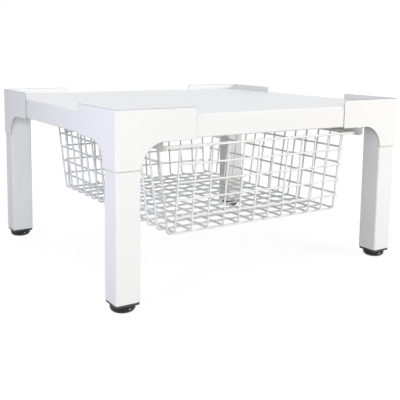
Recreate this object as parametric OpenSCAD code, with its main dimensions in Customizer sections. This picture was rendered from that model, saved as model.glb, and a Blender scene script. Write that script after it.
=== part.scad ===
// Laundry pedestal: a low steel stand that carries one washing machine or dryer,
// with a wire basket that slides out to the front under the machine.
// Origin: middle of the footprint, on the floor. +X right, +Y back, +Z up. Millimetres.

/* [Stand] */
// Width over the corner brackets
stand_w = 620; // [580:5:700]
// Depth over the corner brackets
stand_d = 555; // [530:5:640]
// Height from the floor to the brackets' top edge, with the feet screwed in
stand_h = 323; // [303:5:403]

/* [Top pan] */
// Sheet of the pan
pan_t = 1.5; // [1.2:0.1:2]
// Height of the pan's four flanges
flange_h = 40; // [36:1:50]
// Width of the lips turned in at the bottom of the flanges
lip_w = 25; // [24:1:32]
// Inside radius of the pan's folds
pan_fold_r = 2; // [1:0.5:3]
// Free length cut out beside each end of a fold, so that it bends cleanly
fold_relief = 1.5; // [1:0.5:3]

/* [Corner brackets] */
// Sheet of the brackets
bracket_t = 1.5; // [1:0.1:3]
// Length of each wing, from the corner
wing_l = 145; // [135:5:160]
// How far the brackets stand above the pan, which holds the machine in place
recess_h = 11; // [8:1:15]
// How far the wings reach below the pan's flanges
wing_drop = 2; // [0:0.5:4]
// Radius of the arch between wing and leg
arch_r = 42; // [30:1:50]
// How far the bracket's lower end reaches past the leg
leg_cover = 0.5; // [0:0.5:2]
// Radius of the wings' upper ends
wing_end_r = 4.5; // [2:0.5:7]
// Inside radius of the bracket's fold
bracket_fold_r = 1; // [0.5:0.5:2]

/* [Legs] */
// Side of the square tube
leg_w = 43; // [38:1:46]
// Wall of the tube
leg_wall = 1.5; // [1.2:0.1:2.5]
// Outside corner radius of the tube
leg_r = 3; // [2.5:0.5:4]

/* [Weld studs and nuts] */
// Thread of the weld studs
stud_d = 6; // [5:1:8]
// Length of the studs, from the bracket's sheet
stud_l = 14; // [12:1:18]
// Distance of the first stud from the corner
stud_inset = 65; // [60:1:75]
// Distance from the first stud to the second
stud_pitch = 60; // [40:5:65]

/* [Leg plugs and feet] */
// Flange of the plug under the tube
plug_flange_t = 4.4; // [3:0.2:6]
// How far the flange's edge lies inside the tube's outer faces
plug_inset = 0.8; // [0:0.1:1]
// Depth of the plug inside the tube
plug_l = 20; // [16:1:30]
// Wall of the plug's skirt and ribs
plug_wall = 2; // [1.5:0.1:2.5]
// Diameter of the foot
foot_d = 42; // [38:1:46]
// Height of the foot
foot_h = 11.3; // [10:0.1:14]
// Radius of the foot's rounded lower edge
foot_edge_r = 7.5; // [3:0.5:8]
// Thread of the foot's bolt
bolt_d = 10; // [8:1:12]
// Length of the bolt above the foot
bolt_l = 36; // [30:1:45]

/* [Basket runners] */
// How far the runners' outer faces lie inside the stand's sides
runner_inset = 86; // [80:1:100]
// Height of the runners' channel
runner_h = 18.5; // [16:0.5:22]
// Width of the channel's upper and lower flanges
runner_w = 11; // [10.5:0.5:13]
// Sheet of the runners
runner_t = 1.5; // [1.2:0.1:2]
// How far the runners lie behind the front plane, and before the back plane
runner_setback = 7.5; // [6:0.5:10]
// Distance between the two screws at each end of a runner
screw_pitch = 10; // [9:0.5:11]
// Height of the stop tab at the runner's back end
stop_h = 8; // [6:0.5:10]
// Distance from the stop tab to the runner's back end
stop_setback = 22; // [18:0.5:30]

/* [Basket] */
// Rod of the rim, whose sides ride in the runners
rim_d = 5; // [4:0.5:6]
// How far the rim lies behind the front plane
rim_setback = 16; // [14:1:20]
// Corner radius of the rim, on the rod's middle line
rim_corner_r = 8; // [6:1:14]
// Wire of the mesh
wire_d = 3.8; // [3:0.1:4.2]
// Height from the mesh's underside to the rim's middle line
basket_h = 155; // [120:0.5:170]
// Angle at which the front and back walls lean out, in degrees
end_lean = 6; // [3:1:9]
// Angle at which the side walls lean out, in degrees
side_lean = 7; // [3:1:9]
// Radius of the wires' folds between floor and walls, on their middle line
wire_fold_r = 6; // [5:1:9]
// Distance between the wires that run front to back
long_pitch = 33.1; // [25:0.1:45]
// Distance between the wires that run from side to side
cross_pitch = 34.4; // [25:0.1:45]
// Distance between the rings on the walls, counted down from the rim
ring_pitch = 30.7; // [22:0.1:45]

/* [Fits] */
// Gap between the flange ends and the legs
flange_gap = 0.5; // [0.3:0.1:1]
// Gap round the plug in its tube
plug_gap = 0.2; // [0.1:0.05:0.4]
// Gap between a thread and its nut, bush or hole in the bush
thread_gap = 0.05; // [0.02:0.01:0.08]
// Gap between a screw or stud and its clearance hole
hole_gap = 0.3; // [0.2:0.1:0.5]
// Gap between foot and plug with the foot screwed in
foot_gap = 0.3; // [0.2:0.1:0.5]
// Gap between the mesh and the runners' lower flanges
mesh_gap = 1; // [0.8:0.1:2]
// Gap between the basket's rim and the stop tabs behind it
stop_gap = 0.5; // [0.3:0.1:1]
// How far crossing wires melt into each other at their weld
weld_sink = 0.3; // [0.2:0.05:0.5]
// Least distance from the mesh's folds to the wires and rings beside them
fold_margin = 1; // [1:0.5:4]

/* [Hidden] */
$fn = 48;

// The four corners: name, then 0 or 1 for right and for back
CORNERS = [["front_left", 0, 0], ["front_right", 1, 0], ["back_left", 0, 1], ["back_right", 1, 1]];

WHITE = [0.94, 0.94, 0.93];
BLACK = [0.10, 0.10, 0.10];
ZINC = [0.72, 0.73, 0.75];
BRASS = [0.80, 0.66, 0.36];

// Heights
pan_top = stand_h - recess_h;
flange_bottom = pan_top - flange_h;
wing_h = recess_h + flange_h + wing_drop;
bracket_h = wing_h + arch_r;
leg_bottom = foot_h + foot_gap + plug_flange_t;
leg_top = pan_top - pan_t;
stud_z = pan_top - flange_h / 2;

// The pan and the legs fill the space inside the brackets' sheet
pan_x = stand_w / 2 - bracket_t;
pan_y = stand_d / 2 - bracket_t;
flange_x = pan_x - leg_w - flange_gap;
flange_y = pan_y - leg_w - flange_gap;

// Nuts, washers' faces and heads follow their threads
stud_nut_af = 10 / 6 * stud_d;
stud_nut_h = 0.85 * stud_d;
stud_nut_flange_t = 1.2;
screw_d = 4;
screw_head_d = 2 * screw_d;
screw_head_h = 2.6;
screw_nut_af = 1.75 * screw_d;
screw_nut_h = 0.8 * screw_d;
screw_tip = 1.5;
bolt_head_af = 1.6 * bolt_d;
bolt_head_h = 0.55 * bolt_d;
bolt_head_z = 0.8;
bush_wall = 2;
bush_base = 4;
bush_d = bolt_d + 2 * bush_wall;
bush_l = plug_l - bush_base;
boss_d = bush_d + 2 * plug_wall;
fin_t = 1.5;
fin_l = 1;
fin_pitch = 5;

// How far solids of one piece reach into each other where they join
joint_sink = 0.5;

// Runners hang under the pan's front and back lips
runner_span = stand_w - 2 * runner_inset;
runner_top = flange_bottom;
runner_bottom = runner_top - runner_h;
runner_y = stand_d / 2 - runner_setback;
runner_fold_r = 1;
screw_offset = 0.25;
tab_clear = 0.5;
screw_x = runner_span / 2 - (runner_w + runner_t) / 2 - screw_offset;
screw_y = (runner_y + pan_y - lip_w) / 2;

// Basket: the rim lies on the runners' lower flanges, the mesh hangs inside it
rim_z = runner_bottom + runner_t + rim_d / 2;
rim_x = runner_span / 2 - runner_w - mesh_gap + rim_d / 2;
rim_front = -stand_d / 2 + rim_setback;
stop_y = runner_y - stop_setback;
rim_back = stop_y - stop_gap;
rim_l = rim_back - rim_front;
basket_y = (rim_front + rim_back) / 2;
rim_y = (rim_l - rim_d) / 2;
cross_z = rim_z - basket_h + wire_d / 2;
long_z = cross_z + wire_d - weld_sink;
rod_gap = 0.02;
end_fold = fold_middle(rim_y, long_z, end_lean);
side_fold = fold_middle(rim_x, cross_z, side_lean);
long_wires = count_between(2 * side_fold, long_pitch);
cross_wires = count_between(2 * end_fold, cross_pitch);
wire_over = 2.5;
wire_top_over = 1;

// Distance from the basket's middle to the middle of a fold, for a wall that leans at an angle and
// whose wires just touch the inside of the rim rod, to a hundredth of a millimetre
function fold_middle(rod, floor_z, lean) =
    let (offset = (rim_d + wire_d) / 2 + rod_gap + wire_fold_r)
    round(100 * (rod - offset / cos(lean) - (rim_z - floor_z - wire_fold_r) * tan(lean))) / 100;

// How many wires fit between two folds
function count_between(space, pitch) = floor((space - 2 * fold_margin) / pitch) + 1;

// General shapes

// Square with rounded corners, from exact arcs
module rounded_square(w, d, r) {
    square([w - 2 * r, d], center = true);
    square([w, d - 2 * r], center = true);
    for (x = [-1, 1], y = [-1, 1])
        translate([x * (w / 2 - r), y * (d / 2 - r)]) circle(r);
}

// Section of a 90 degree fold in sheet: its outer corner is at the origin, its arms run to +x and +y
module fold_section(t, inner_r) {
    r = inner_r + t;
    translate([r, r]) intersection() {
        difference() {
            circle(r);
            circle(inner_r);
        }
        translate([-r, -r]) square(r);
    }
}

module hex_prism(af, h) {
    cylinder(h = h, d = af / cos(30), $fn = 6);
}

// Puts a part that is drawn for the front left corner at any corner
module at_corner(c) {
    mirror([c[1], 0, 0]) mirror([0, c[2], 0])
        translate([-stand_w / 2, -stand_d / 2, 0]) children();
}

// Places on the two wings of a corner where a stud stands, its foot at the origin along +z
module at_studs() {
    for (s = [stud_inset, stud_inset + stud_pitch]) {
        translate([s, bracket_t, stud_z]) rotate([-90, 0, 0]) children();
        translate([bracket_t, s, stud_z]) rotate([0, 90, 0]) children();
    }
}

// Middles of the runner screws, on the underside of the pan's lips
module at_runner_screws() {
    for (x = [-1, 1], y = [-1, 1], k = [-1, 1])
        translate([x * screw_x, y * screw_y + k * screw_pitch / 2, runner_top]) children();
}

// Top pan: one sheet with four flanges, each turned in again at the bottom

// Section of a flange: y = 0 at the pan's top face, x = 0 at the flange's outer face
module flange_section() {
    r = pan_fold_r + pan_t;
    mirror([0, 1]) fold_section(pan_t, pan_fold_r);
    translate([0, -flange_h + r]) square([pan_t, flange_h - 2 * r]);
    translate([0, -flange_h]) fold_section(pan_t, pan_fold_r);
    translate([r, -flange_h]) square([lip_w - r, pan_t]);
    translate([r, -pan_t]) square([joint_sink, pan_t]);
}

module pan_flange(reach, half_length) {
    translate([0, -reach, pan_top]) rotate([90, 0, 90])
        linear_extrude(2 * half_length, center = true) flange_section();
}

// Strip of the flat sheet that each fold takes up, with its reliefs
module fold_strip(reach, half_length) {
    r = pan_fold_r + pan_t;
    translate([-half_length - fold_relief, -reach - 1]) square([2 * (half_length + fold_relief), r + 1]);
}

module pan_sheet() {
    translate([0, 0, pan_top - pan_t]) linear_extrude(pan_t) difference() {
        rounded_square(2 * pan_x, 2 * pan_y, leg_r);
        for (a = [0, 180]) {
            rotate(a) fold_strip(pan_y, flange_x);
            rotate(a + 90) fold_strip(pan_x, flange_y);
        }
    }
}

module top_pan() {
    color(WHITE) difference() {
        union() {
            pan_sheet();
            for (a = [0, 180]) {
                rotate(a) pan_flange(pan_y, flange_x);
                rotate(a + 90) pan_flange(pan_x, flange_y);
            }
        }
        for (c = CORNERS) at_corner(c) at_studs()
            translate([0, 0, -1]) cylinder(h = pan_t + 2, r = stud_d / 2 + hole_gap);
        at_runner_screws()
            translate([0, 0, -1]) cylinder(h = pan_t + 2, r = screw_d / 2 + hole_gap);
    }
}

// Corner bracket: a folded angle whose two wings arch down to the leg

// Plan of the angle
module bracket_plan() {
    r = bracket_fold_r + bracket_t;
    fold_section(bracket_t, bracket_fold_r);
    translate([r, 0]) square([wing_l - r, bracket_t]);
    translate([0, r]) square([bracket_t, wing_l - r]);
}

// What is cut away from a wing, seen from its face, above the bracket's lower end
module wing_cut() {
    arch_x = bracket_t + leg_w + leg_cover + arch_r;
    translate([arch_x, 0]) circle(arch_r, $fn = 96);
    translate([arch_x, -1]) square([wing_l - arch_x + 1, arch_r + 1]);
    translate([wing_l - wing_end_r, bracket_h - wing_end_r]) difference() {
        square(wing_end_r + 1);
        circle(wing_end_r);
    }
}

module bracket(c) {
    color(WHITE) at_corner(c) translate([0, 0, stand_h - bracket_h]) difference() {
        linear_extrude(bracket_h) bracket_plan();
        translate([0, bracket_t + 1, 0]) rotate([90, 0, 0]) linear_extrude(bracket_t + 2) wing_cut();
        translate([-1, 0, 0]) rotate([90, 0, 90]) linear_extrude(bracket_t + 2) wing_cut();
    }
}

module bracket_studs() {
    color(ZINC) for (c = CORNERS) at_corner(c) at_studs() cylinder(h = stud_l, d = stud_d);
}

// Flanged hexagon nuts inside the pan
module bracket_nuts() {
    color(ZINC) for (c = CORNERS) at_corner(c) at_studs() translate([0, 0, pan_t]) difference() {
        union() {
            hex_prism(stud_nut_af, stud_nut_h);
            cylinder(h = stud_nut_flange_t, d = 1.4 * stud_nut_af);
        }
        translate([0, 0, -1]) cylinder(h = stud_nut_h + 2, r = stud_d / 2 + thread_gap);
    }
}

// Legs, their plugs and the feet

// Middle line of the leg, measured from the bracket's outer corner
module at_leg(c) {
    at_corner(c) translate([bracket_t + leg_w / 2, bracket_t + leg_w / 2, 0]) children();
}

module leg(c) {
    color(WHITE) at_leg(c) translate([0, 0, leg_bottom]) linear_extrude(leg_top - leg_bottom)
        difference() {
            rounded_square(leg_w, leg_w, leg_r);
            rounded_square(leg_w - 2 * leg_wall, leg_w - 2 * leg_wall, leg_r - leg_wall / 2);
        }
}

// Plastic plug: a flange under the tube's end, a finned skirt inside it and a ribbed boss for the bush
module leg_plug(c) {
    inside_w = leg_w - 2 * leg_wall - 2 * plug_gap;
    skirt_w = inside_w - 2 * fin_l;
    color(BLACK) at_leg(c) translate([0, 0, leg_bottom]) difference() {
        union() {
            translate([0, 0, -plug_flange_t]) linear_extrude(plug_flange_t)
                rounded_square(leg_w - 2 * plug_inset, leg_w - 2 * plug_inset, leg_r);
            linear_extrude(plug_l) difference() {
                rounded_square(skirt_w, skirt_w, leg_r);
                rounded_square(skirt_w - 2 * plug_wall, skirt_w - 2 * plug_wall, leg_r - plug_wall / 2);
            }
            for (z = [fin_pitch / 2 : fin_pitch : plug_l - fin_t]) translate([0, 0, z])
                linear_extrude(fin_t) difference() {
                    rounded_square(inside_w, inside_w, leg_r);
                    square(skirt_w - plug_wall, center = true);
                }
            for (a = [0, 90]) rotate(a)
                translate([joint_sink - skirt_w / 2, -plug_wall / 2, -joint_sink])
                    cube([skirt_w - 2 * joint_sink, plug_wall, plug_l - bush_base + joint_sink]);
            translate([0, 0, -joint_sink]) cylinder(h = plug_l + joint_sink, d = boss_d);
        }
        translate([0, 0, plug_l - bush_l]) cylinder(h = bush_l + 1, r = bush_d / 2 + thread_gap);
        translate([0, 0, -plug_flange_t - 1])
            cylinder(h = plug_flange_t + plug_l, r = bolt_d / 2 + hole_gap);
    }
}

// Threaded bush in the plug
module plug_bush(c) {
    color(BRASS) at_leg(c) translate([0, 0, leg_bottom + plug_l - bush_l]) difference() {
        cylinder(h = bush_l, d = bush_d);
        translate([0, 0, -1]) cylinder(h = bush_l + 2, r = bolt_d / 2 + thread_gap);
    }
}

module foot(c) {
    flat_r = foot_d / 2 - foot_edge_r;
    color(BLACK) at_leg(c) difference() {
        rotate_extrude($fn = 64) {
            translate([0, foot_edge_r]) square([foot_d / 2, foot_h - foot_edge_r]);
            square([flat_r, foot_edge_r]);
            intersection() {
                translate([flat_r, foot_edge_r]) circle(foot_edge_r);
                translate([flat_r, 0]) square(foot_edge_r);
            }
        }
        translate([0, 0, -1]) hex_prism(bolt_head_af + 2 * thread_gap, bolt_head_z + bolt_head_h + 1);
        cylinder(h = foot_h + 1, r = bolt_d / 2 + thread_gap);
    }
}

// Bolt whose head sits in the foot
module foot_bolt(c) {
    color(ZINC) at_leg(c) translate([0, 0, bolt_head_z]) {
        hex_prism(bolt_head_af, bolt_head_h);
        cylinder(h = foot_h - bolt_head_z + bolt_l, d = bolt_d);
    }
}

// Runners: channels that open inward, with a stop tab lanced from the web at the back

// Section of a runner: x = 0 at the web's outer face, y = 0 at the lower face
module runner_section() {
    r = runner_fold_r + runner_t;
    fold_section(runner_t, runner_fold_r);
    translate([r, 0]) square([runner_w - r, runner_t]);
    translate([0, r]) square([runner_t, runner_h - 2 * r]);
    translate([0, runner_h]) mirror([0, 1]) {
        fold_section(runner_t, runner_fold_r);
        translate([r, 0]) square([runner_w - r, runner_t]);
    }
}

module runner(right) {
    tab_w = runner_w - runner_t - tab_clear;
    tab_z = runner_bottom + (runner_h - stop_h) / 2;
    color(WHITE) mirror([right, 0, 0]) difference() {
        union() {
            translate([-runner_span / 2, 0, runner_bottom]) rotate([90, 0, 0])
                linear_extrude(2 * runner_y, center = true) runner_section();
            translate([-runner_span / 2, stop_y, tab_z]) cube([runner_t + tab_w, runner_t, stop_h]);
        }
        translate([-runner_span / 2 - 1, stop_y - tab_w, tab_z]) cube([runner_t + 2, tab_w, stop_h]);
        at_runner_screws() translate([0, 0, -runner_t - 1])
            cylinder(h = runner_t + 2, r = screw_d / 2 + hole_gap);
    }
}

// Pan head screws up through the runner's upper flange and the pan's lip
module runner_screws() {
    shank_l = runner_t + pan_t + screw_nut_h + screw_tip;
    color(ZINC) at_runner_screws() translate([0, 0, -runner_t]) {
        cylinder(h = shank_l, d = screw_d);
        translate([0, 0, -screw_head_h])
            cylinder(h = screw_head_h, d1 = 0.8 * screw_head_d, d2 = screw_head_d);
    }
}

module runner_nuts() {
    color(ZINC) at_runner_screws() translate([0, 0, pan_t]) difference() {
        hex_prism(screw_nut_af, screw_nut_h);
        translate([0, 0, -1]) cylinder(h = screw_nut_h + 2, r = screw_d / 2 + thread_gap);
    }
}

// Basket: a rim rod and a welded wire mesh that is folded up from a cross-shaped blank

module basket_rim() {
    straight_x = rim_x - rim_corner_r;
    straight_y = rim_y - rim_corner_r;
    color(WHITE) translate([0, basket_y, rim_z]) for (s = [-1, 1]) {
        translate([0, s * rim_y, 0]) rotate([0, 90, 0])
            cylinder(h = 2 * straight_x, d = rim_d, center = true);
        translate([s * rim_x, 0, 0]) rotate([90, 0, 0])
            cylinder(h = 2 * straight_y, d = rim_d, center = true);
        for (q = [-1, 1]) mirror([s < 0 ? 1 : 0, 0, 0]) mirror([0, q < 0 ? 1 : 0, 0])
            translate([straight_x, straight_y, 0])
                rotate_extrude(angle = 90) translate([rim_corner_r, 0]) circle(d = rim_d);
    }
}

// Places of n things at equal distances about the middle
function spread(n, pitch) = [for (i = [0 : n - 1]) (i - (n - 1) / 2) * pitch];

// One floor wire along y, with its folds up to the walls at both ends
module floor_wire(fold_y, lean) {
    rotate([90, 0, 0]) cylinder(h = 2 * fold_y, d = wire_d, center = true);
    for (a = [0, 180]) rotate(a) translate([0, fold_y, wire_fold_r])
        rotate([90, 0, 90]) rotate(-90)
            rotate_extrude(angle = 90 - lean) translate([wire_fold_r, 0]) circle(d = wire_d);
}

// The wires' places on the floor are also the places of the walls' upright wires
module basket_floor() {
    color(WHITE) translate([0, basket_y, 0]) {
        for (x = spread(long_wires, long_pitch)) translate([x, 0, long_z]) floor_wire(end_fold, end_lean);
        for (y = spread(cross_wires, cross_pitch)) translate([0, y, cross_z])
            rotate(90) floor_wire(side_fold, side_lean);
    }
}

// A wall on the +y side: upright wires from the folds' ends to the rim, and rings across them
// ring_side is 1 with the rings outside the uprights and -1 with the rings inside
module mesh_wall(fold_y, floor_z, lean, count, pitch, ring_side) {
    foot_y = fold_y + wire_fold_r * cos(lean);
    foot_z = floor_z + wire_fold_r * (1 - sin(lean));
    ring_l = (count - 1) * pitch + 2 * wire_over;
    rings = floor((rim_z - foot_z - fold_margin) / ring_pitch);
    translate([0, foot_y, foot_z]) rotate([-lean, 0, 0]) {
        for (x = spread(count, pitch)) translate([x, 0, 0])
            cylinder(h = (rim_z + wire_top_over - foot_z) / cos(lean), d = wire_d);
        for (k = [1 : rings])
            translate([0, ring_side * (wire_d - weld_sink), (rim_z - k * ring_pitch - foot_z) / cos(lean)])
                rotate([0, 90, 0]) cylinder(h = ring_l, d = wire_d, center = true);
    }
}

module end_wall(back) {
    color(WHITE) translate([0, basket_y, 0]) mirror([0, 1 - back, 0])
        mesh_wall(end_fold, long_z, end_lean, long_wires, long_pitch, 1);
}

module side_wall(right) {
    color(WHITE) translate([0, basket_y, 0]) mirror([1 - right, 0, 0]) rotate(-90)
        mesh_wall(side_fold, cross_z, side_lean, cross_wires, cross_pitch, -1);
}

top_pan();
for (c = CORNERS) {
    bracket(c);
    leg(c);
    leg_plug(c);
    plug_bush(c);
    foot(c);
    foot_bolt(c);
}
bracket_studs();
bracket_nuts();
runner(0);  // runner_left
runner(1);  // runner_right
runner_screws();
runner_nuts();
basket_rim();
basket_floor();
end_wall(0);  // basket_front
end_wall(1);  // basket_back
side_wall(0);  // basket_left
side_wall(1);  // basket_right
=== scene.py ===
"""Laundry pedestal: the finish and the detailed shapes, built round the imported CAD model.

Metres, in the CAD frame: +X right, +Y back, +Z up, origin on the floor in the middle of the footprint.
"""

import math

import bmesh
import bpy
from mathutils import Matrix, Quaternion, Vector


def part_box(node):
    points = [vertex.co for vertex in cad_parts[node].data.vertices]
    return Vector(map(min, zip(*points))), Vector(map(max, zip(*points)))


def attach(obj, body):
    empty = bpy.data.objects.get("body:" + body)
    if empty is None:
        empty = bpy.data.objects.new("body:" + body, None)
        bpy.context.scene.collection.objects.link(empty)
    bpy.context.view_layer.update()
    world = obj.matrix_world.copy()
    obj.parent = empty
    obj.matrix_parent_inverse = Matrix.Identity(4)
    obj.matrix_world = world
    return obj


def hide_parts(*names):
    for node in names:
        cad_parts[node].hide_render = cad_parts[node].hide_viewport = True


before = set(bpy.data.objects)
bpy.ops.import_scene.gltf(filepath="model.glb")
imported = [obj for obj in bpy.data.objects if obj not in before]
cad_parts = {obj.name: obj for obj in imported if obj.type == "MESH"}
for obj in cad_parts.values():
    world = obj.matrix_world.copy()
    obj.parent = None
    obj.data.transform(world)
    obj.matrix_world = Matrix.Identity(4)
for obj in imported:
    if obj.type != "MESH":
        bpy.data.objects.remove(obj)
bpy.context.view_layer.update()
MM = 0.001
QUARTER = math.pi / 2
CORNERS = ("front_left", "front_right", "back_left", "back_right")

# Places taken from the frame
STAND_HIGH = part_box("bracket_back_right")[1]
HALF_W = STAND_HIGH.x
HALF_D = STAND_HIGH.y
PAN_LOW, PAN_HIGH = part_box("top_pan")
LEG_LOW, LEG_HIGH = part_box("leg_front_left")
LEG_WIDTH = LEG_HIGH.x - LEG_LOW.x
PLUG_LOW, PLUG_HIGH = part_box("leg_plug_front_left")
FOOT_LOW, FOOT_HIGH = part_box("foot_front_left")
BRACKET_LOW, BRACKET_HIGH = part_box("bracket_front_left")
RUNNER_LOW, RUNNER_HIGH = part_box("runner_left")
RIM_LOW, RIM_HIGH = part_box("basket_rim")
MESH_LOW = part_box("basket_floor")[0]

# Camera at the photograph's viewing angle, for a frame of 400 by 400
CAMERA_AZIMUTH = math.radians(-33.123)
CAMERA_ELEVATION = math.radians(7.436)
CAMERA_ROLL = math.radians(0.775)
CAMERA_TARGET = Vector((0.02213, 0, 0.23208))
CAMERA_DISTANCE = 1.41014
CAMERA_LENS = 59.751
CAMERA_SENSOR = 36
CAMERA_SHIFT_Y = -0.16
CAMERA_NEAR = 0.05
CAMERA_FAR = 50

# Sheet metal
BRACKET_SHEET = 1.5 * MM
BRACKET_FOLD_R = 1 * MM
BRACKET_FOOT = 45 * MM
ARCH_R = 42 * MM
WING_END_R = 4.5 * MM
PAN_SHEET = 1.5 * MM
PAN_FOLD_R = 2 * MM
PAN_LIP = 25 * MM
PAN_CORNER_R = 3 * MM
FLANGE_GAP = 0.5 * MM
FOLD_RELIEF = 1.5 * MM
LEG_CORNER_R = 3 * MM
LEG_WALL = 1.5 * MM
RUNNER_SHEET = 1.5 * MM
RUNNER_FOLD_R = 1 * MM
STOP_SETBACK = 22 * MM
STOP_HEIGHT = 8 * MM
STOP_CLEARANCE = 0.5 * MM

# Rounding of the cut edges
BRACKET_BEVEL = 0.55 * MM
PAN_BEVEL = 0.3 * MM
LEG_BEVEL = 0.4 * MM
RUNNER_BEVEL = 0.3 * MM
BEVEL_SEGMENTS = 3
BEVEL_ANGLE = math.radians(32)
NORMAL_WEIGHT = 100

# Uneven seam bead under each bracket. Each wave has a height and a rate per point of the path.
SEAM_R = 0.75 * MM
SEAM_SINK = 0.35 * MM
SEAM_DROP = 0.25 * MM
SEAM_END_GAP = 1.2 * MM
SEAM_CORNER_GAP = 8 * MM
SEAM_BEND_R = 5 * MM
SEAM_WAVES = ((0.22 * MM, 1.9), (0.15 * MM, 4.3))

# Plugs, feet and their bolts
PLUG_FLANGE = 4.4 * MM
PLUG_EDGE_R = 0.7 * MM
PLUG_INSET = 0.8 * MM
PLUG_SKIRT_INSET = 2.7 * MM
PLUG_FIN_INSET = 1.7 * MM
PLUG_FIN = 1.5 * MM
PLUG_FIN_PITCH = 5 * MM
BOLT_HOLE_R = 5.3 * MM
BOLT_HEAD_AF = 16 * MM
BOLT_HEAD_TOP = 6.3 * MM
FOOT_EDGE_R = 7.5 * MM
FOOT_TOP_R = 2.2 * MM
FOOT_SHARP_ANGLE = math.radians(50)

# Basket
ROD_R = 2.5 * MM
RIM_CORNER_R = 8 * MM
WIRE_R = 1.9 * MM
WIRE_FOLD_R = 6 * MM
WIRE_TOP_OVER = 1 * MM
RIM_GAP = 0.02 * MM
END_LEAN = math.radians(6)
SIDE_LEAN = math.radians(7)
LONG_WIRES = 12
LONG_PITCH = 33.1 * MM
CROSS_WIRES = 14
CROSS_PITCH = 34.4 * MM
WALL_RINGS = 4
RING_PITCH = 30.7 * MM
RING_OVER = 2.5 * MM
WELD_SINK = 0.3 * MM
WELD_ALONG = 2.3 * MM
WELD_THROUGH = 1.7 * MM

# Rounded tip of a wire, as rings: (share of the wire's radius, distance past its end in radii)
TIP_REACH = 0.8
TIP_RINGS = ((0.85, 0.45), (0.5, TIP_REACH))

# Fineness of the rounded forms
MERGE_DISTANCE = 0.01 * MM
SHEET_FOLD_STEPS = 6
BRACKET_FOLD_STEPS = 8
ARCH_STEPS = 20
WING_END_STEPS = 6
SEAM_STEPS = 16
SEAM_BEND_STEPS = 6
SEAM_SIDES = 8
PAN_CORNER_STEPS = 4
TUBE_CORNER_STEPS = 5
PLUG_EDGE_STEPS = 4
FOOT_EDGE_STEPS = 10
FOOT_TOP_STEPS = 6
FOOT_SIDES = 48
WIRE_SIDES = 12
WIRE_FOLD_STEPS = 8
RIM_SIDES = 20
RIM_CORNER_STEPS = 8
WELD_SIDES = 10
WELD_LEVELS = 4

# Noise textures, and the part of their range that a drift in colour or roughness runs over
NOISE_DETAIL = 2
NOISE_LOW = 0.3
NOISE_HIGH = 0.7

# Background and floor. The floor's veil fades out between two distances from the middle.
WORLD_COLOR = (0.93, 0.94, 1, 1)
WORLD_STRENGTH = 0.084
BACKGROUND_COLOR = (1, 1, 1, 1)
BACKGROUND_STRENGTH = 1
FLOOR_REACH = 12
FLOOR_DROP = 0.2 * MM
FLOOR_COLOR = (0.4, 0.4, 0.4, 1)
SHADOW_COLOR = (0.16, 0.16, 0.165, 1)
FADE_START = 0.5
FADE_END = 2.5
FADE_FROM = 0.9


def make_camera():
    """The camera looks at its target from the photograph's azimuth and elevation."""
    data = bpy.data.cameras.new("camera")
    camera = bpy.data.objects.new("camera", data)
    bpy.context.scene.collection.objects.link(camera)
    flat = math.cos(CAMERA_ELEVATION)
    back_x = math.sin(CAMERA_AZIMUTH) * flat
    back_y = -math.cos(CAMERA_AZIMUTH) * flat
    back = Vector((back_x, back_y, math.sin(CAMERA_ELEVATION)))
    camera.location = CAMERA_TARGET + back * CAMERA_DISTANCE
    camera.rotation_mode = "QUATERNION"
    camera.rotation_quaternion = (-back).to_track_quat("-Z", "Y") @ Quaternion((0, 0, 1), CAMERA_ROLL)
    data.sensor_width = CAMERA_SENSOR
    data.lens = CAMERA_LENS
    data.shift_y = CAMERA_SHIFT_Y
    data.clip_start = CAMERA_NEAR
    data.clip_end = CAMERA_FAR
    bpy.context.scene.camera = camera


# Materials


def new_material(name, color, roughness, metallic=0.0, specular=0.5):
    """A material with a Principled shader, whose even values sit on the shader's own sockets."""
    material = bpy.data.materials.new(name)
    material.use_nodes = True
    shader = material.node_tree.nodes["Principled BSDF"]
    shader.inputs["Base Color"].default_value = (*color, 1)
    shader.inputs["Roughness"].default_value = roughness
    shader.inputs["Metallic"].default_value = metallic
    shader.inputs["Specular IOR Level"].default_value = specular
    return material


def noise_node(material, scale):
    """Noise in the object's own coordinates. A material's noises share one coordinate node."""
    tree = material.node_tree
    coordinates = tree.nodes.get("Texture Coordinate") or tree.nodes.new("ShaderNodeTexCoord")
    noise = tree.nodes.new("ShaderNodeTexNoise")
    noise.inputs["Scale"].default_value = scale
    noise.inputs["Detail"].default_value = NOISE_DETAIL
    tree.links.new(coordinates.outputs["Object"], noise.inputs["Vector"])
    return noise


def vary_color(material, low, high, scale):
    """Base colour that drifts between two near colours."""
    tree = material.node_tree
    noise = noise_node(material, scale)
    ramp = tree.nodes.new("ShaderNodeValToRGB")
    ramp.color_ramp.elements[0].position = NOISE_LOW
    ramp.color_ramp.elements[0].color = (*low, 1)
    ramp.color_ramp.elements[1].position = NOISE_HIGH
    ramp.color_ramp.elements[1].color = (*high, 1)
    tree.links.new(noise.outputs["Fac"], ramp.inputs["Fac"])
    tree.links.new(ramp.outputs["Color"], tree.nodes["Principled BSDF"].inputs["Base Color"])


def vary_roughness(material, low, high, scale):
    """Roughness that drifts between two near values."""
    tree = material.node_tree
    noise = noise_node(material, scale)
    levels = tree.nodes.new("ShaderNodeMapRange")
    levels.inputs["From Min"].default_value = NOISE_LOW
    levels.inputs["From Max"].default_value = NOISE_HIGH
    levels.inputs["To Min"].default_value = low
    levels.inputs["To Max"].default_value = high
    tree.links.new(noise.outputs["Fac"], levels.inputs["Value"])
    tree.links.new(levels.outputs["Result"], tree.nodes["Principled BSDF"].inputs["Roughness"])


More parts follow.
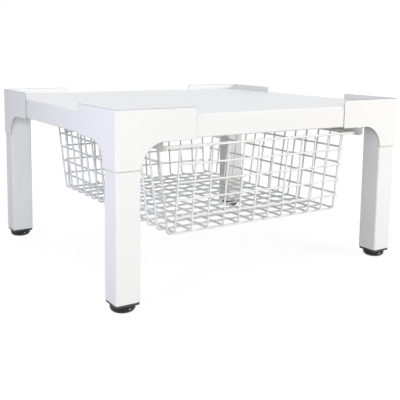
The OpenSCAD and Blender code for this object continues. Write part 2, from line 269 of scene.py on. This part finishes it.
def add_bump(material, scale, height, strength):
    """Fine relief of the surface: height in metres."""
    tree = material.node_tree
    noise = noise_node(material, scale)
    bump = tree.nodes.new("ShaderNodeBump")
    bump.inputs["Distance"].default_value = height
    bump.inputs["Strength"].default_value = strength
    tree.links.new(noise.outputs["Fac"], bump.inputs["Height"])
    tree.links.new(bump.outputs["Normal"], tree.nodes["Principled BSDF"].inputs["Normal"])


def powder_coat():
    """Glossy white coat with a very fine orange peel."""
    material = new_material("powder_coat", (0.86, 0.86, 0.85), roughness=0.26, specular=0.3)
    vary_roughness(material, 0.255, 0.265, scale=3)
    add_bump(material, scale=350, height=0.03 * MM, strength=0.3)
    return material


def painted_edge_shade():
    """Painted shade on the rounded cut edges of the sheets: a dark grey that stands in for the shadow lines
    and dark reflections along them.
    """
    material = new_material("painted_edge_shade", (0.32, 0.32, 0.325), roughness=0.45, specular=0.3)
    vary_color(material, (0.27, 0.27, 0.275), (0.37, 0.37, 0.375), scale=45)
    vary_roughness(material, 0.4, 0.5, scale=300)
    return material


def wire_coat():
    """White coat on the basket's wires, a little duller than on the sheets."""
    material = new_material("wire_coat", (0.88, 0.88, 0.87), roughness=0.32, specular=0.25)
    vary_color(material, (0.87, 0.87, 0.862), (0.89, 0.89, 0.878), scale=14)
    vary_roughness(material, 0.28, 0.36, scale=60)
    return material


def black_plastic():
    """Grained black plastic of the plugs."""
    material = new_material("black_plastic", (0.04, 0.04, 0.041), roughness=0.42)
    vary_roughness(material, 0.36, 0.48, scale=90)
    add_bump(material, scale=1500, height=0.05 * MM, strength=0.4)
    return material


def foot_plastic():
    """Glossy black plastic of the feet."""
    material = new_material("foot_plastic", (0.01, 0.01, 0.011), roughness=0.16, specular=0.3)
    vary_roughness(material, 0.14, 0.2, scale=120)
    return material


def zinc_plate():
    material = new_material("zinc_plate", (0.62, 0.63, 0.65), roughness=0.32, metallic=1)
    vary_color(material, (0.56, 0.58, 0.60), (0.68, 0.68, 0.67), scale=130)
    vary_roughness(material, 0.24, 0.42, scale=320)
    return material


def turned_brass():
    material = new_material("turned_brass", (0.74, 0.55, 0.26), roughness=0.3, metallic=1)
    vary_roughness(material, 0.24, 0.38, scale=260)
    return material


def seam_tan():
    """Warm tan, uneven colour of the bead under the brackets."""
    material = new_material("seam_tan", (0.70, 0.60, 0.53), roughness=0.5)
    vary_color(material, (0.62, 0.51, 0.44), (0.80, 0.73, 0.67), scale=160)
    add_bump(material, scale=600, height=0.2 * MM, strength=0.5)
    return material


# Shapes


def finish_mesh(mesh, name, material, body, nodes, bevel=0.0, edge=None):
    """Turns a bmesh into a piece that rides on its body and stands for its CAD nodes."""
    bmesh.ops.remove_doubles(mesh, verts=mesh.verts, dist=MERGE_DISTANCE)
    bmesh.ops.recalc_face_normals(mesh, faces=mesh.faces)
    for face in mesh.faces:
        face.smooth = True
    data = bpy.data.meshes.new(name)
    mesh.to_mesh(data)
    mesh.free()
    data.materials.append(material)
    piece = bpy.data.objects.new(name, data)
    bpy.context.scene.collection.objects.link(piece)
    if bevel:
        round_edges(piece, bevel, edge)
    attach(piece, body)
    if nodes:
        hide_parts(*nodes)
    return piece


def round_edges(piece, width, material):
    """Rounds the cut edges of a sheet, in a second material that paints a dark edge shade on them."""
    materials = piece.data.materials
    materials.append(material)
    bevel = piece.modifiers.new("bevel", "BEVEL")
    bevel.width = width
    bevel.segments = BEVEL_SEGMENTS
    # The rounding takes the dark painted edge shade
    bevel.material = len(materials) - 1
    bevel.limit_method = "ANGLE"
    bevel.angle_limit = BEVEL_ANGLE
    bevel.use_clamp_overlap = False
    normals = piece.modifiers.new("normals", "WEIGHTED_NORMAL")
    normals.weight = NORMAL_WEIGHT
    normals.keep_sharp = True


def place(mesh, points):
    """New vertices of the mesh at the given points."""
    return [mesh.verts.new(p) for p in points]


def strip(mesh, first, second, closed=False):
    """Quads between two rows of vertices of equal length."""
    count = len(first)
    for i in range(count if closed else count - 1):
        j = (i + 1) % count
        mesh.faces.new((first[i], first[j], second[j], second[i]))


def angles(steps, span=QUARTER):
    """Even steps over an angle, with both ends."""
    return [span * i / steps for i in range(steps + 1)]


def full_turn(steps):
    """Even steps round a full turn. The end isn't repeated."""
    return [2 * math.pi * i / steps for i in range(steps)]


def circle(radius, steps):
    """Outline of a circle, counter-clockwise."""
    return [(radius * math.cos(a), radius * math.sin(a)) for a in full_turn(steps)]


def rounded_rectangle(half_x, half_y, radius, steps):
    """Outline of a rectangle with rounded corners, counter-clockwise."""
    points = []
    for turn in range(4):
        centre_x = (half_x - radius) * (1 if turn in (0, 3) else -1)
        centre_y = (half_y - radius) * (1 if turn in (0, 1) else -1)
        for a in angles(steps):
            angle = a + turn * QUARTER
            points.append((centre_x + radius * math.cos(angle), centre_y + radius * math.sin(angle)))
    return points


def rounded_square(half, radius):
    """Outline of a square tube or plug. With equal values it is a circle of as many points."""
    return rounded_rectangle(half, half, radius, TUBE_CORNER_STEPS)


def channel_section(height, lower, upper, sheet, inner_r):
    """Outer and inner outline of sheet folded to a C: (distance from the web's face, height)."""
    outer_r = inner_r + sheet

    def outline(radius, gap):
        arc = [(radius * math.sin(a), radius * math.cos(a)) for a in angles(SHEET_FOLD_STEPS)]
        low = [(outer_r - s, outer_r - c) for s, c in arc]
        high = [(outer_r - c, height - outer_r + s) for s, c in arc]
        return [(lower, gap)] + low + high + [(upper, height - gap)]

    return outline(outer_r, 0), outline(inner_r, sheet)


def sweep_section(mesh, section, ends, lift, close_upper=True):
    """Sheet section swept between two ends: lift(point, end) gives the point in space."""
    rows = [[place(mesh, [lift(p, end) for p in outline]) for outline in section] for end in ends]
    for outline in (0, 1):
        strip(mesh, rows[0][outline], rows[1][outline])
    for end in (0, 1):
        strip(mesh, rows[end][0], rows[end][1])
    tips = (0, -1) if close_upper else (0,)
    for tip in tips:
        mesh.faces.new((rows[0][0][tip], rows[0][1][tip], rows[1][1][tip], rows[1][0][tip]))


def loft(mesh, middle, levels):
    """Skin through outlines at given heights. The last outline joins the first."""
    rows = [place(mesh, [(middle.x + x, middle.y + y, z) for x, y in outline]) for outline, z in levels]
    for k in range(len(rows)):
        strip(mesh, rows[k], rows[(k + 1) % len(rows)], closed=True)


def tube(mesh, path, radius, normal, closed=False, sides=WIRE_SIDES):
    """Round wire along a path that lies in the plane of the given normal, with rounded tips."""
    count = len(path)
    turns = full_turn(sides)

    def ring(centre, along, r):
        across = normal.cross(along).normalized()
        return place(mesh, [centre + r * (math.cos(a) * normal + math.sin(a) * across) for a in turns])

    rings = []
    for i, point in enumerate(path):
        before = path[(i - 1) % count] if closed or i > 0 else point
        after = path[(i + 1) % count] if closed or i < count - 1 else point
        rings.append(ring(point, (after - before).normalized(), radius))
    if closed:
        rings.append(rings[0])
    else:
        first = (path[0] - path[1]).normalized()
        last = (path[-1] - path[-2]).normalized()
        for share, out in TIP_RINGS:
            rings.insert(0, ring(path[0] + first * out * radius, -first, share * radius))
            rings.append(ring(path[-1] + last * out * radius, last, share * radius))
        mesh.faces.new(rings[0])
        mesh.faces.new(rings[-1])
    for one, two in zip(rings, rings[1:]):
        strip(mesh, one, two, closed=True)


def at_corner(corner, x, y, z):
    """A point drawn for the front left corner, from the stand's corner inwards, at any corner."""
    side = 1 if "right" in corner else -1
    end = 1 if "back" in corner else -1
    return Vector((side * (HALF_W - x), end * (HALF_D - y), z))


def leg_middle(corner):
    inset = BRACKET_SHEET + LEG_WIDTH / 2
    return at_corner(corner, inset, inset, 0)


# Corner brackets


def wing_outline():
    """Outline of a wing: distance from the stand's corner, and height."""
    low, high = BRACKET_LOW.z, BRACKET_HIGH.z
    length = BRACKET_HIGH.x - BRACKET_LOW.x
    fold = BRACKET_SHEET + BRACKET_FOLD_R
    arch_x = BRACKET_FOOT + ARCH_R
    arch = [(arch_x - ARCH_R * math.cos(a), low + ARCH_R * math.sin(a)) for a in angles(ARCH_STEPS)]
    tip_x = length - WING_END_R
    tip_z = high - WING_END_R
    turns = angles(WING_END_STEPS)
    tip = [(tip_x + WING_END_R * math.cos(a), tip_z + WING_END_R * math.sin(a)) for a in turns]
    return [(fold, low)] + arch + [(length, low + ARCH_R)] + tip + [(fold, high)]


def add_wings(mesh, corner):
    """Both flat wings of a bracket, each with two faces and the cut edge between them."""
    outline = wing_outline()
    for swap in (False, True):
        rows = []
        for depth in (0, BRACKET_SHEET):
            points = [(depth, u, z) if swap else (u, depth, z) for u, z in outline]
            rows.append(place(mesh, [at_corner(corner, *point) for point in points]))
            mesh.faces.new(rows[-1])
        strip(mesh, rows[0], rows[1])


def add_fold(mesh, corner):
    """The fold between a bracket's wings."""
    outer_r = BRACKET_SHEET + BRACKET_FOLD_R
    turns = angles(BRACKET_FOLD_STEPS)
    columns = []
    for radius in (outer_r, BRACKET_FOLD_R):
        arc = [(outer_r - radius * math.sin(a), outer_r - radius * math.cos(a)) for a in turns]
        for z in (BRACKET_LOW.z, BRACKET_HIGH.z):
            columns.append(place(mesh, [at_corner(corner, x, y, z) for x, y in arc]))
    outer_low, outer_high, inner_low, inner_high = columns
    strip(mesh, outer_low, outer_high)
    strip(mesh, inner_low, inner_high)
    strip(mesh, outer_low, inner_low)
    strip(mesh, outer_high, inner_high)


def make_bracket(corner, material, edge):
    mesh = bmesh.new()
    add_wings(mesh, corner)
    add_fold(mesh, corner)
    node = "bracket_" + corner
    return finish_mesh(mesh, node + "_sheet", material, "stand", [node], BRACKET_BEVEL, edge)


def seam_path(corner):
    """Wavy middle line of a seam, from one end of the bracket's foot round its fold to the other."""
    inset = BRACKET_SHEET - SEAM_SINK
    height = BRACKET_LOW.z - SEAM_DROP
    pitch = (BRACKET_FOOT - SEAM_CORNER_GAP) / SEAM_STEPS
    straight = [BRACKET_FOOT - SEAM_END_GAP - pitch * i for i in range(SEAM_STEPS)]
    front = [(s, inset) for s in straight]
    side = [(inset, s) for s in reversed(straight)]
    centre = inset + SEAM_BEND_R
    arc = [(SEAM_BEND_R * math.sin(a), SEAM_BEND_R * math.cos(a)) for a in angles(SEAM_BEND_STEPS)]
    bend = [(centre - s, centre - c) for s, c in arc]
    path = []
    for i, (x, y) in enumerate(front + bend + side):
        wave = sum(size * math.sin(rate * i) for size, rate in SEAM_WAVES)
        path.append(at_corner(corner, x, y, height) + Vector((0, 0, wave)))
    return path


def make_seam(corner, material):
    """Uneven bead along the bracket's lower end, where it meets the leg."""
    mesh = bmesh.new()
    tube(mesh, seam_path(corner), SEAM_R, Vector((0, 0, 1)), sides=SEAM_SIDES)
    return finish_mesh(mesh, "bracket_" + corner + "_seam", material, "stand", [])


# Top pan


def flange_reach():
    """Half lengths of the end flanges and the side flanges, which stop at the legs."""
    return PAN_HIGH.x - LEG_WIDTH - FLANGE_GAP, PAN_HIGH.y - LEG_WIDTH - FLANGE_GAP


def pan_corner_outline():
    """One corner of the flat sheet, from the side flange's fold to the end flange's fold."""
    fold = PAN_SHEET + PAN_FOLD_R
    flange_x, flange_y = flange_reach()
    x, y = PAN_HIGH.x, PAN_HIGH.y
    points = [(x - fold, flange_y), (x - fold, flange_y + FOLD_RELIEF), (x, flange_y + FOLD_RELIEF)]
    for a in angles(PAN_CORNER_STEPS):
        points.append((x - PAN_CORNER_R * (1 - math.cos(a)), y - PAN_CORNER_R * (1 - math.sin(a))))
    points += [(flange_x + FOLD_RELIEF, y), (flange_x + FOLD_RELIEF, y - fold), (flange_x, y - fold)]
    return points


def add_flat_sheet(mesh):
    """The pan's flat sheet. Its sides between the corners are left to the flanges' folds."""
    corner = pan_corner_outline()
    corners = [
        corner,
        [(-x, y) for x, y in reversed(corner)],
        [(-x, -y) for x, y in corner],
        [(x, -y) for x, y in reversed(corner)],
    ]
    loops = []
    for z in (PAN_HIGH.z, PAN_HIGH.z - PAN_SHEET):
        rows = [place(mesh, [(x, y, z) for x, y in points]) for points in corners]
        mesh.faces.new([v for row in rows for v in row])
        loops.append(rows)
    for upper, lower in zip(*loops):
        strip(mesh, upper, lower)


def add_flanges(mesh):
    """The pan's four flanges with their folds and lips."""
    height = PAN_HIGH.z - PAN_LOW.z
    section = channel_section(height, PAN_LIP, PAN_SHEET + PAN_FOLD_R, PAN_SHEET, PAN_FOLD_R)
    flange_x, flange_y = flange_reach()
    for side in (-1, 1):
        sweep_section(mesh, section, (-flange_x, flange_x),
                      lambda p, s: (s, side * (PAN_HIGH.y - p[0]), PAN_LOW.z + p[1]), close_upper=False)
        sweep_section(mesh, section, (-flange_y, flange_y),
                      lambda p, s: (side * (PAN_HIGH.x - p[0]), s, PAN_LOW.z + p[1]), close_upper=False)


def make_pan(material, edge):
    mesh = bmesh.new()
    add_flat_sheet(mesh)
    add_flanges(mesh)
    return finish_mesh(mesh, "top_pan_sheet", material, "stand", ["top_pan"], PAN_BEVEL, edge)


# Legs, plugs and feet


def make_leg(corner, material, edge):
    mesh = bmesh.new()
    outer = rounded_square(LEG_WIDTH / 2, LEG_CORNER_R)
    inner = rounded_square(LEG_WIDTH / 2 - LEG_WALL, LEG_CORNER_R - LEG_WALL / 2)
    levels = [(outer, LEG_LOW.z), (outer, LEG_HIGH.z), (inner, LEG_HIGH.z), (inner, LEG_LOW.z)]
    loft(mesh, leg_middle(corner), levels)
    node = "leg_" + corner
    return finish_mesh(mesh, node + "_tube", material, "stand", [node], LEG_BEVEL, edge)


def plug_levels():
    """Outlines of a plug from its underside up, as (outline, height). The bore closes them."""
    flange = LEG_WIDTH / 2 - PLUG_INSET
    flange_top = PLUG_LOW.z + PLUG_FLANGE
    bore = rounded_square(BOLT_HOLE_R, BOLT_HOLE_R)
    skirt = rounded_square(LEG_WIDTH / 2 - PLUG_SKIRT_INSET, LEG_CORNER_R)
    fin = rounded_square(LEG_WIDTH / 2 - PLUG_FIN_INSET, LEG_CORNER_R)
    levels = [(bore, PLUG_LOW.z)]
    for a in angles(PLUG_EDGE_STEPS):
        outline = rounded_square(flange - PLUG_EDGE_R * (1 - math.sin(a)), LEG_CORNER_R)
        levels.append((outline, PLUG_LOW.z + PLUG_EDGE_R * (1 - math.cos(a))))
    levels.append((rounded_square(flange, LEG_CORNER_R), flange_top))
    levels.append((skirt, flange_top))
    height = PLUG_FIN_PITCH / 2
    while height < PLUG_HIGH.z - flange_top - PLUG_FIN:
        low = flange_top + height
        high = low + PLUG_FIN
        levels += [(skirt, low), (fin, low), (fin, high), (skirt, high)]
        height += PLUG_FIN_PITCH
    levels += [(skirt, PLUG_HIGH.z), (bore, PLUG_HIGH.z)]
    return levels


def make_plug(corner, material):
    """Flange under the tube and a finned skirt inside it, round a bore for the bolt."""
    mesh = bmesh.new()
    loft(mesh, leg_middle(corner), plug_levels())
    node = "leg_plug_" + corner
    return finish_mesh(mesh, node + "_moulding", material, "stand", [node])


def foot_profile():
    """Half outline of the foot, as (radius, height): a flat underside, a wide rounded edge, a
    softened top edge, and the bolt's hole with the recess round its hexagon head."""
    radius = (FOOT_HIGH.x - FOOT_LOW.x) / 2
    top = FOOT_HIGH.z
    flat = radius - FOOT_EDGE_R
    recess = BOLT_HEAD_AF / 2 / math.cos(math.pi / 6)
    profile = [(recess, 0)]
    for a in angles(FOOT_EDGE_STEPS):
        profile.append((flat + FOOT_EDGE_R * math.sin(a), FOOT_EDGE_R * (1 - math.cos(a))))
    for a in angles(FOOT_TOP_STEPS):
        profile.append((radius - FOOT_TOP_R * (1 - math.cos(a)), top - FOOT_TOP_R * (1 - math.sin(a))))
    profile += [(BOLT_HOLE_R, top), (BOLT_HOLE_R, BOLT_HEAD_TOP), (recess, BOLT_HEAD_TOP)]
    return profile


def make_foot(corner, material):
    mesh = bmesh.new()
    loft(mesh, leg_middle(corner), [(circle(radius, FOOT_SIDES), z) for radius, z in foot_profile()])
    node = "foot_" + corner
    piece = finish_mesh(mesh, node + "_pad", material, node, [node])
    piece.data.set_sharp_from_angle(angle=FOOT_SHARP_ANGLE)
    return piece


# Runners


def add_stop_tab(mesh, lift, width, height):
    """The tab near a runner's back end that stops the basket's rim."""
    low = (height - STOP_HEIGHT) / 2
    reach = width - STOP_CLEARANCE
    tab = [(RUNNER_SHEET, low), (reach, low), (reach, low + STOP_HEIGHT), (RUNNER_SHEET, low + STOP_HEIGHT)]
    front = RUNNER_HIGH.y - STOP_SETBACK
    rows = []
    for y in (front, front + RUNNER_SHEET):
        rows.append(place(mesh, [lift(p, y) for p in tab]))
        mesh.faces.new(rows[-1])
    strip(mesh, rows[0], rows[1], closed=True)


def make_runner(side, material, edge):
    """Channel that opens inward, with the stop tab near its back end."""
    mesh = bmesh.new()
    sign = 1 if side == "right" else -1
    outer = max(abs(RUNNER_LOW.x), abs(RUNNER_HIGH.x))
    width = RUNNER_HIGH.x - RUNNER_LOW.x
    height = RUNNER_HIGH.z - RUNNER_LOW.z

    def lift(point, y):
        return sign * (outer - point[0]), y, RUNNER_LOW.z + point[1]

    section = channel_section(height, width, width, RUNNER_SHEET, RUNNER_FOLD_R)
    sweep_section(mesh, section, (RUNNER_LOW.y, RUNNER_HIGH.y), lift)
    add_stop_tab(mesh, lift, width, height)
    node = "runner_" + side
    return finish_mesh(mesh, node + "_channel", material, "stand", [node], RUNNER_BEVEL, edge)


# Basket


def spread(count, pitch):
    """Places of wires of equal pitch, about the middle."""
    return [(i - (count - 1) / 2) * pitch for i in range(count)]


def fold_middle(rod, floor_z, lean, rim_z):
    """Distance from the basket's middle to the middle of a fold, for a wall that touches the rim."""
    offset = ROD_R + WIRE_R + RIM_GAP + WIRE_FOLD_R
    return rod - offset / math.cos(lean) - (rim_z - floor_z - WIRE_FOLD_R) * math.tan(lean)


def basket_layout():
    """Middle lines of the rim, and for each kind of wire its level, fold and lean."""
    middle_y = (RIM_LOW.y + RIM_HIGH.y) / 2
    rim_z = (RIM_LOW.z + RIM_HIGH.z) / 2
    rim_x = RIM_HIGH.x - ROD_R
    rim_y = (RIM_HIGH.y - RIM_LOW.y) / 2 - ROD_R
    cross_z = MESH_LOW.z + WIRE_R
    long_z = cross_z + 2 * WIRE_R - WELD_SINK
    return {
        "middle_y": middle_y,
        "rim": (rim_x, rim_y, rim_z),
        "long": (long_z, fold_middle(rim_y, long_z, END_LEAN, rim_z), END_LEAN),
        "cross": (cross_z, fold_middle(rim_x, cross_z, SIDE_LEAN, rim_z), SIDE_LEAN),
    }


def wire_half(level, fold, lean, rim_z):
    """Half of a bent wire as (distance from the middle, height), from the floor to its upper end."""
    bend = angles(WIRE_FOLD_STEPS, QUARTER - lean)
    points = [(fold + WIRE_FOLD_R * math.sin(a), level + WIRE_FOLD_R * (1 - math.cos(a))) for a in bend]
    foot, height = points[-1]
    top = rim_z + WIRE_TOP_OVER - TIP_REACH * WIRE_R
    return points + [(foot + (top - height) * math.tan(lean), top)]


def bent_wire(mesh, kind, offset, layout):
    """One wire from rim to rim. Long wires run along y and cross wires along x."""
    level, fold, lean = layout[kind]
    half = wire_half(level, fold, lean, layout["rim"][2])
    points = [(-s, z) for s, z in reversed(half)] + half
    if kind == "long":
        path = [Vector((offset, layout["middle_y"] + s, z)) for s, z in points]
        tube(mesh, path, WIRE_R, Vector((1, 0, 0)))
    else:
        path = [Vector((s, layout["middle_y"] + offset, z)) for s, z in points]
        tube(mesh, path, WIRE_R, Vector((0, 1, 0)))


def ring_places(kind, layout):
    """Where the rings of a leaning wall run: (distance from the middle, height) of their middle lines."""
    level, fold, lean = layout[kind]
    outward = 1 if kind == "long" else -1
    foot_s = fold + WIRE_FOLD_R * math.cos(lean)
    foot_z = level + WIRE_FOLD_R * (1 - math.sin(lean))
    across = outward * (2 * WIRE_R - WELD_SINK)
    places = []
    for k in range(1, WALL_RINGS + 1):
        up = (layout["rim"][2] - k * RING_PITCH - foot_z) / math.cos(lean)
        s = foot_s + up * math.sin(lean) + across * math.cos(lean)
        z = foot_z + up * math.cos(lean) - across * math.sin(lean)
        places.append((s, z))
    return places


def wall_ring(mesh, kind, s, z, side, layout):
    """One ring's straight wire across one of the two walls of a kind."""
    count, pitch = (LONG_WIRES, LONG_PITCH) if kind == "long" else (CROSS_WIRES, CROSS_PITCH)
    reach = (count - 1) * pitch / 2 + RING_OVER
    ends = (-reach, 0, reach)
    if kind == "long":
        path = [Vector((e, layout["middle_y"] + side * s, z)) for e in ends]
    else:
        path = [Vector((side * s, layout["middle_y"] + e, z)) for e in ends]
    tube(mesh, path, WIRE_R, Vector((0, 0, 1)))


def make_mesh_wires(material):
    mesh = bmesh.new()
    layout = basket_layout()
    for x in spread(LONG_WIRES, LONG_PITCH):
        bent_wire(mesh, "long", x, layout)
    for y in spread(CROSS_WIRES, CROSS_PITCH):
        bent_wire(mesh, "cross", y, layout)
    for kind in ("long", "cross"):
        for s, z in ring_places(kind, layout):
            for side in (-1, 1):
                wall_ring(mesh, kind, s, z, side, layout)
    nodes = ["basket_floor", "basket_front", "basket_back", "basket_left", "basket_right"]
    return finish_mesh(mesh, "basket_mesh_wires", material, "basket", nodes)


def weld_nugget(mesh, centre, radius, height):
    """Small blob of coating that fills the crossing of two wires."""
    turns = full_turn(WELD_SIDES)
    rings = []
    for k in range(1, WELD_LEVELS):
        a = math.pi * k / WELD_LEVELS
        r = radius * math.sin(a)
        z = height * math.cos(a)
        rings.append(place(mesh, [centre + Vector((r * math.cos(t), r * math.sin(t), z)) for t in turns]))
    for one, two in zip(rings, rings[1:]):
        strip(mesh, one, two, closed=True)
    for tip, ring in ((1, rings[0]), (-1, rings[-1])):
        pole = mesh.verts.new(centre + Vector((0, 0, tip * height)))
        for i in range(WELD_SIDES):
            mesh.faces.new((pole, ring[i], ring[(i + 1) % WELD_SIDES]))


def make_welds(material):
    mesh = bmesh.new()
    layout = basket_layout()
    middle_y = layout["middle_y"]
    long_places = spread(LONG_WIRES, LONG_PITCH)
    cross_places = spread(CROSS_WIRES, CROSS_PITCH)
    floor_z = (layout["long"][0] + layout["cross"][0]) / 2
    for x in long_places:
        for y in cross_places:
            weld_nugget(mesh, Vector((x, middle_y + y, floor_z)), WELD_ALONG, WELD_THROUGH)
    half_layer = WIRE_R - WELD_SINK / 2
    for side in (-1, 1):
        for s, z in ring_places("long", layout):
            for x in long_places:
                centre = Vector((x, middle_y + side * (s - half_layer), z))
                weld_nugget(mesh, centre, WELD_THROUGH, WELD_ALONG)
        for s, z in ring_places("cross", layout):
            for y in cross_places:
                centre = Vector((side * (s + half_layer), middle_y + y, z))
                weld_nugget(mesh, centre, WELD_THROUGH, WELD_ALONG)
    return finish_mesh(mesh, "basket_welds", material, "basket", [])


def make_rim(material):
    mesh = bmesh.new()
    layout = basket_layout()
    rim_x, rim_y, rim_z = layout["rim"]
    outline = rounded_rectangle(rim_x, rim_y, RIM_CORNER_R, RIM_CORNER_STEPS)
    path = [Vector((x, layout["middle_y"] + y, rim_z)) for x, y in outline]
    tube(mesh, path, ROD_R, Vector((0, 0, 1)), closed=True, sides=RIM_SIDES)
    return finish_mesh(mesh, "basket_rim_rod", material, "basket", ["basket_rim"])


# CAD nodes that keep their shape


def dress_node(name, material):
    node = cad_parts[name]
    node.data.materials.clear()
    node.data.materials.append(material)


def dress_fasteners(zinc, brass):
    for name in ("bracket_studs", "bracket_nuts", "runner_screws", "runner_nuts"):
        dress_node(name, zinc)
    for corner in CORNERS:
        dress_node("foot_bolt_" + corner, zinc)
        dress_node("plug_bush_" + corner, brass)


# Background, floor and light


def only_seen(tree, plain, shown):
    """Shader that is the second one to the camera and in reflections, and the first to other light."""
    path = tree.nodes.new("ShaderNodeLightPath")
    factor = path.outputs["Is Camera Ray"]
    for ray in ("Is Glossy Ray", "Is Transmission Ray"):
        either = tree.nodes.new("ShaderNodeMath")
        either.operation = "ADD"
        either.use_clamp = True
        tree.links.new(factor, either.inputs[0])
        tree.links.new(path.outputs[ray], either.inputs[1])
        factor = either.outputs[0]
    mix = tree.nodes.new("ShaderNodeMixShader")
    tree.links.new(factor, mix.inputs[0])
    tree.links.new(plain, mix.inputs[1])
    tree.links.new(shown, mix.inputs[2])
    return mix.outputs[0]


def background_shader(tree, color, strength):
    shader = tree.nodes.new("ShaderNodeBackground")
    shader.inputs["Color"].default_value = color
    shader.inputs["Strength"].default_value = strength
    return shader.outputs[0]


def make_world():
    """Soft light from all sides, and a white background."""
    world = bpy.data.worlds.new("studio")
    bpy.context.scene.world = world
    world.use_nodes = True
    tree = world.node_tree
    tree.nodes.clear()
    light = background_shader(tree, WORLD_COLOR, WORLD_STRENGTH)
    white = background_shader(tree, BACKGROUND_COLOR, BACKGROUND_STRENGTH)
    output = tree.nodes.new("ShaderNodeOutputWorld")
    tree.links.new(only_seen(tree, light, white), output.inputs["Surface"])


def diffuse_shader(tree, color):
    shader = tree.nodes.new("ShaderNodeBsdfDiffuse")
    shader.inputs["Color"].default_value = color
    return shader.outputs[0]


def fading_clear_shader(tree):
    """Transparent shader that takes a little light away near the object, and none further out."""
    coordinates = tree.nodes.new("ShaderNodeTexCoord")
    reach = tree.nodes.new("ShaderNodeVectorMath")
    reach.operation = "LENGTH"
    fade = tree.nodes.new("ShaderNodeMapRange")
    fade.inputs["From Min"].default_value = FADE_START
    fade.inputs["From Max"].default_value = FADE_END
    fade.inputs["To Min"].default_value = FADE_FROM
    fade.inputs["To Max"].default_value = 1
    clear = tree.nodes.new("ShaderNodeBsdfTransparent")
    tree.links.new(coordinates.outputs["Object"], reach.inputs[0])
    tree.links.new(reach.outputs["Value"], fade.inputs["Value"])
    tree.links.new(fade.outputs["Result"], clear.inputs["Color"])
    return clear.outputs[0]


def floor_material():
    """Pale floor that keeps a faint shadow, and lets a foot that is screwed out below it show."""
    material = bpy.data.materials.new("floor")
    material.use_nodes = True
    tree = material.node_tree
    tree.nodes.clear()
    plain = diffuse_shader(tree, FLOOR_COLOR)
    seen = tree.nodes.new("ShaderNodeAddShader")
    tree.links.new(diffuse_shader(tree, SHADOW_COLOR), seen.inputs[0])
    tree.links.new(fading_clear_shader(tree), seen.inputs[1])
    output = tree.nodes.new("ShaderNodeOutputMaterial")
    tree.links.new(only_seen(tree, plain, seen.outputs[0]), output.inputs["Surface"])
    return material


def make_floor():
    mesh = bpy.data.meshes.new("floor")
    reach = FLOOR_REACH
    corners = [(-reach, -reach, 0), (reach, -reach, 0), (reach, reach, 0), (-reach, reach, 0)]
    mesh.from_pydata(corners, [], [(0, 1, 2, 3)])
    mesh.materials.append(floor_material())
    floor = bpy.data.objects.new("floor", mesh)
    floor.location.z = -FLOOR_DROP
    bpy.context.scene.collection.objects.link(floor)


def area_light(name, place_at, look_at, size, power, color, glint=False):
    """A soft lamp that no glossy face mirrors, or a glint that does nothing else."""
    data = bpy.data.lights.new(name, "AREA")
    data.size = size
    data.energy = power
    data.color = color
    light = bpy.data.objects.new(name, data)
    light.location = place_at
    direction = Vector(look_at) - Vector(place_at)
    light.rotation_mode = "QUATERNION"
    light.rotation_quaternion = direction.to_track_quat("-Z", "Y")
    light.visible_camera = False
    light.visible_glossy = glint
    light.visible_diffuse = not glint
    bpy.context.scene.collection.objects.link(light)


def make_lights():
    """Each lamp with its place, the point it faces, its size, its power in watts and its colour."""
    area_light("key", (1.4, -1.7, 0.9), (0.1, -0.1, 0.2), 1.0, 29.6, (1, 0.97, 0.95))
    area_light("front_left", (-1.2, -2.4, 0.6), (-0.1, 0, 0.2), 0.9, 25.5, (0.975, 0.995, 0.945))
    area_light("left", (-1.1, -0.42, 0.5), (-0.25, -0.05, 0.2), 0.6, 5.4, (0.84, 0.845, 1))
    area_light("right", (2.8, -0.9, 0.9), (0, 0, 0.2), 1.4, 9, (0.98, 0.985, 1))
    area_light("back", (-0.3, 2.6, 2.3), (0, 0, 0.3), 2.2, 36, (0.95, 0.96, 1))
    area_light("top", (0.2, 0.2, 2.6), (0, 0, 0.3), 1.8, 22, (0.87, 0.89, 1))
    area_light("feet_glint", (1.02, -1.835, -0.75), (0, -0.1, 0), 0.7, 22, (1, 1, 1), glint=True)


def build():
    white = powder_coat()
    # Dark grey painted shade and reflection for the sheets' rounded edges
    edge = painted_edge_shade()
    wire = wire_coat()
    plastic = black_plastic()
    foot = foot_plastic()
    seam = seam_tan()
    make_pan(white, edge)
    for corner in CORNERS:
        make_bracket(corner, white, edge)
        make_seam(corner, seam)
        make_leg(corner, white, edge)
        make_plug(corner, plastic)
        make_foot(corner, foot)
    for side in ("left", "right"):
        make_runner(side, white, edge)
    make_mesh_wires(wire)
    make_welds(wire)
    make_rim(wire)
    dress_fasteners(zinc_plate(), turned_brass())


make_camera()
build()
make_world()
make_floor()
make_lights()
bpy.context.scene.view_settings.view_transform = "Standard"
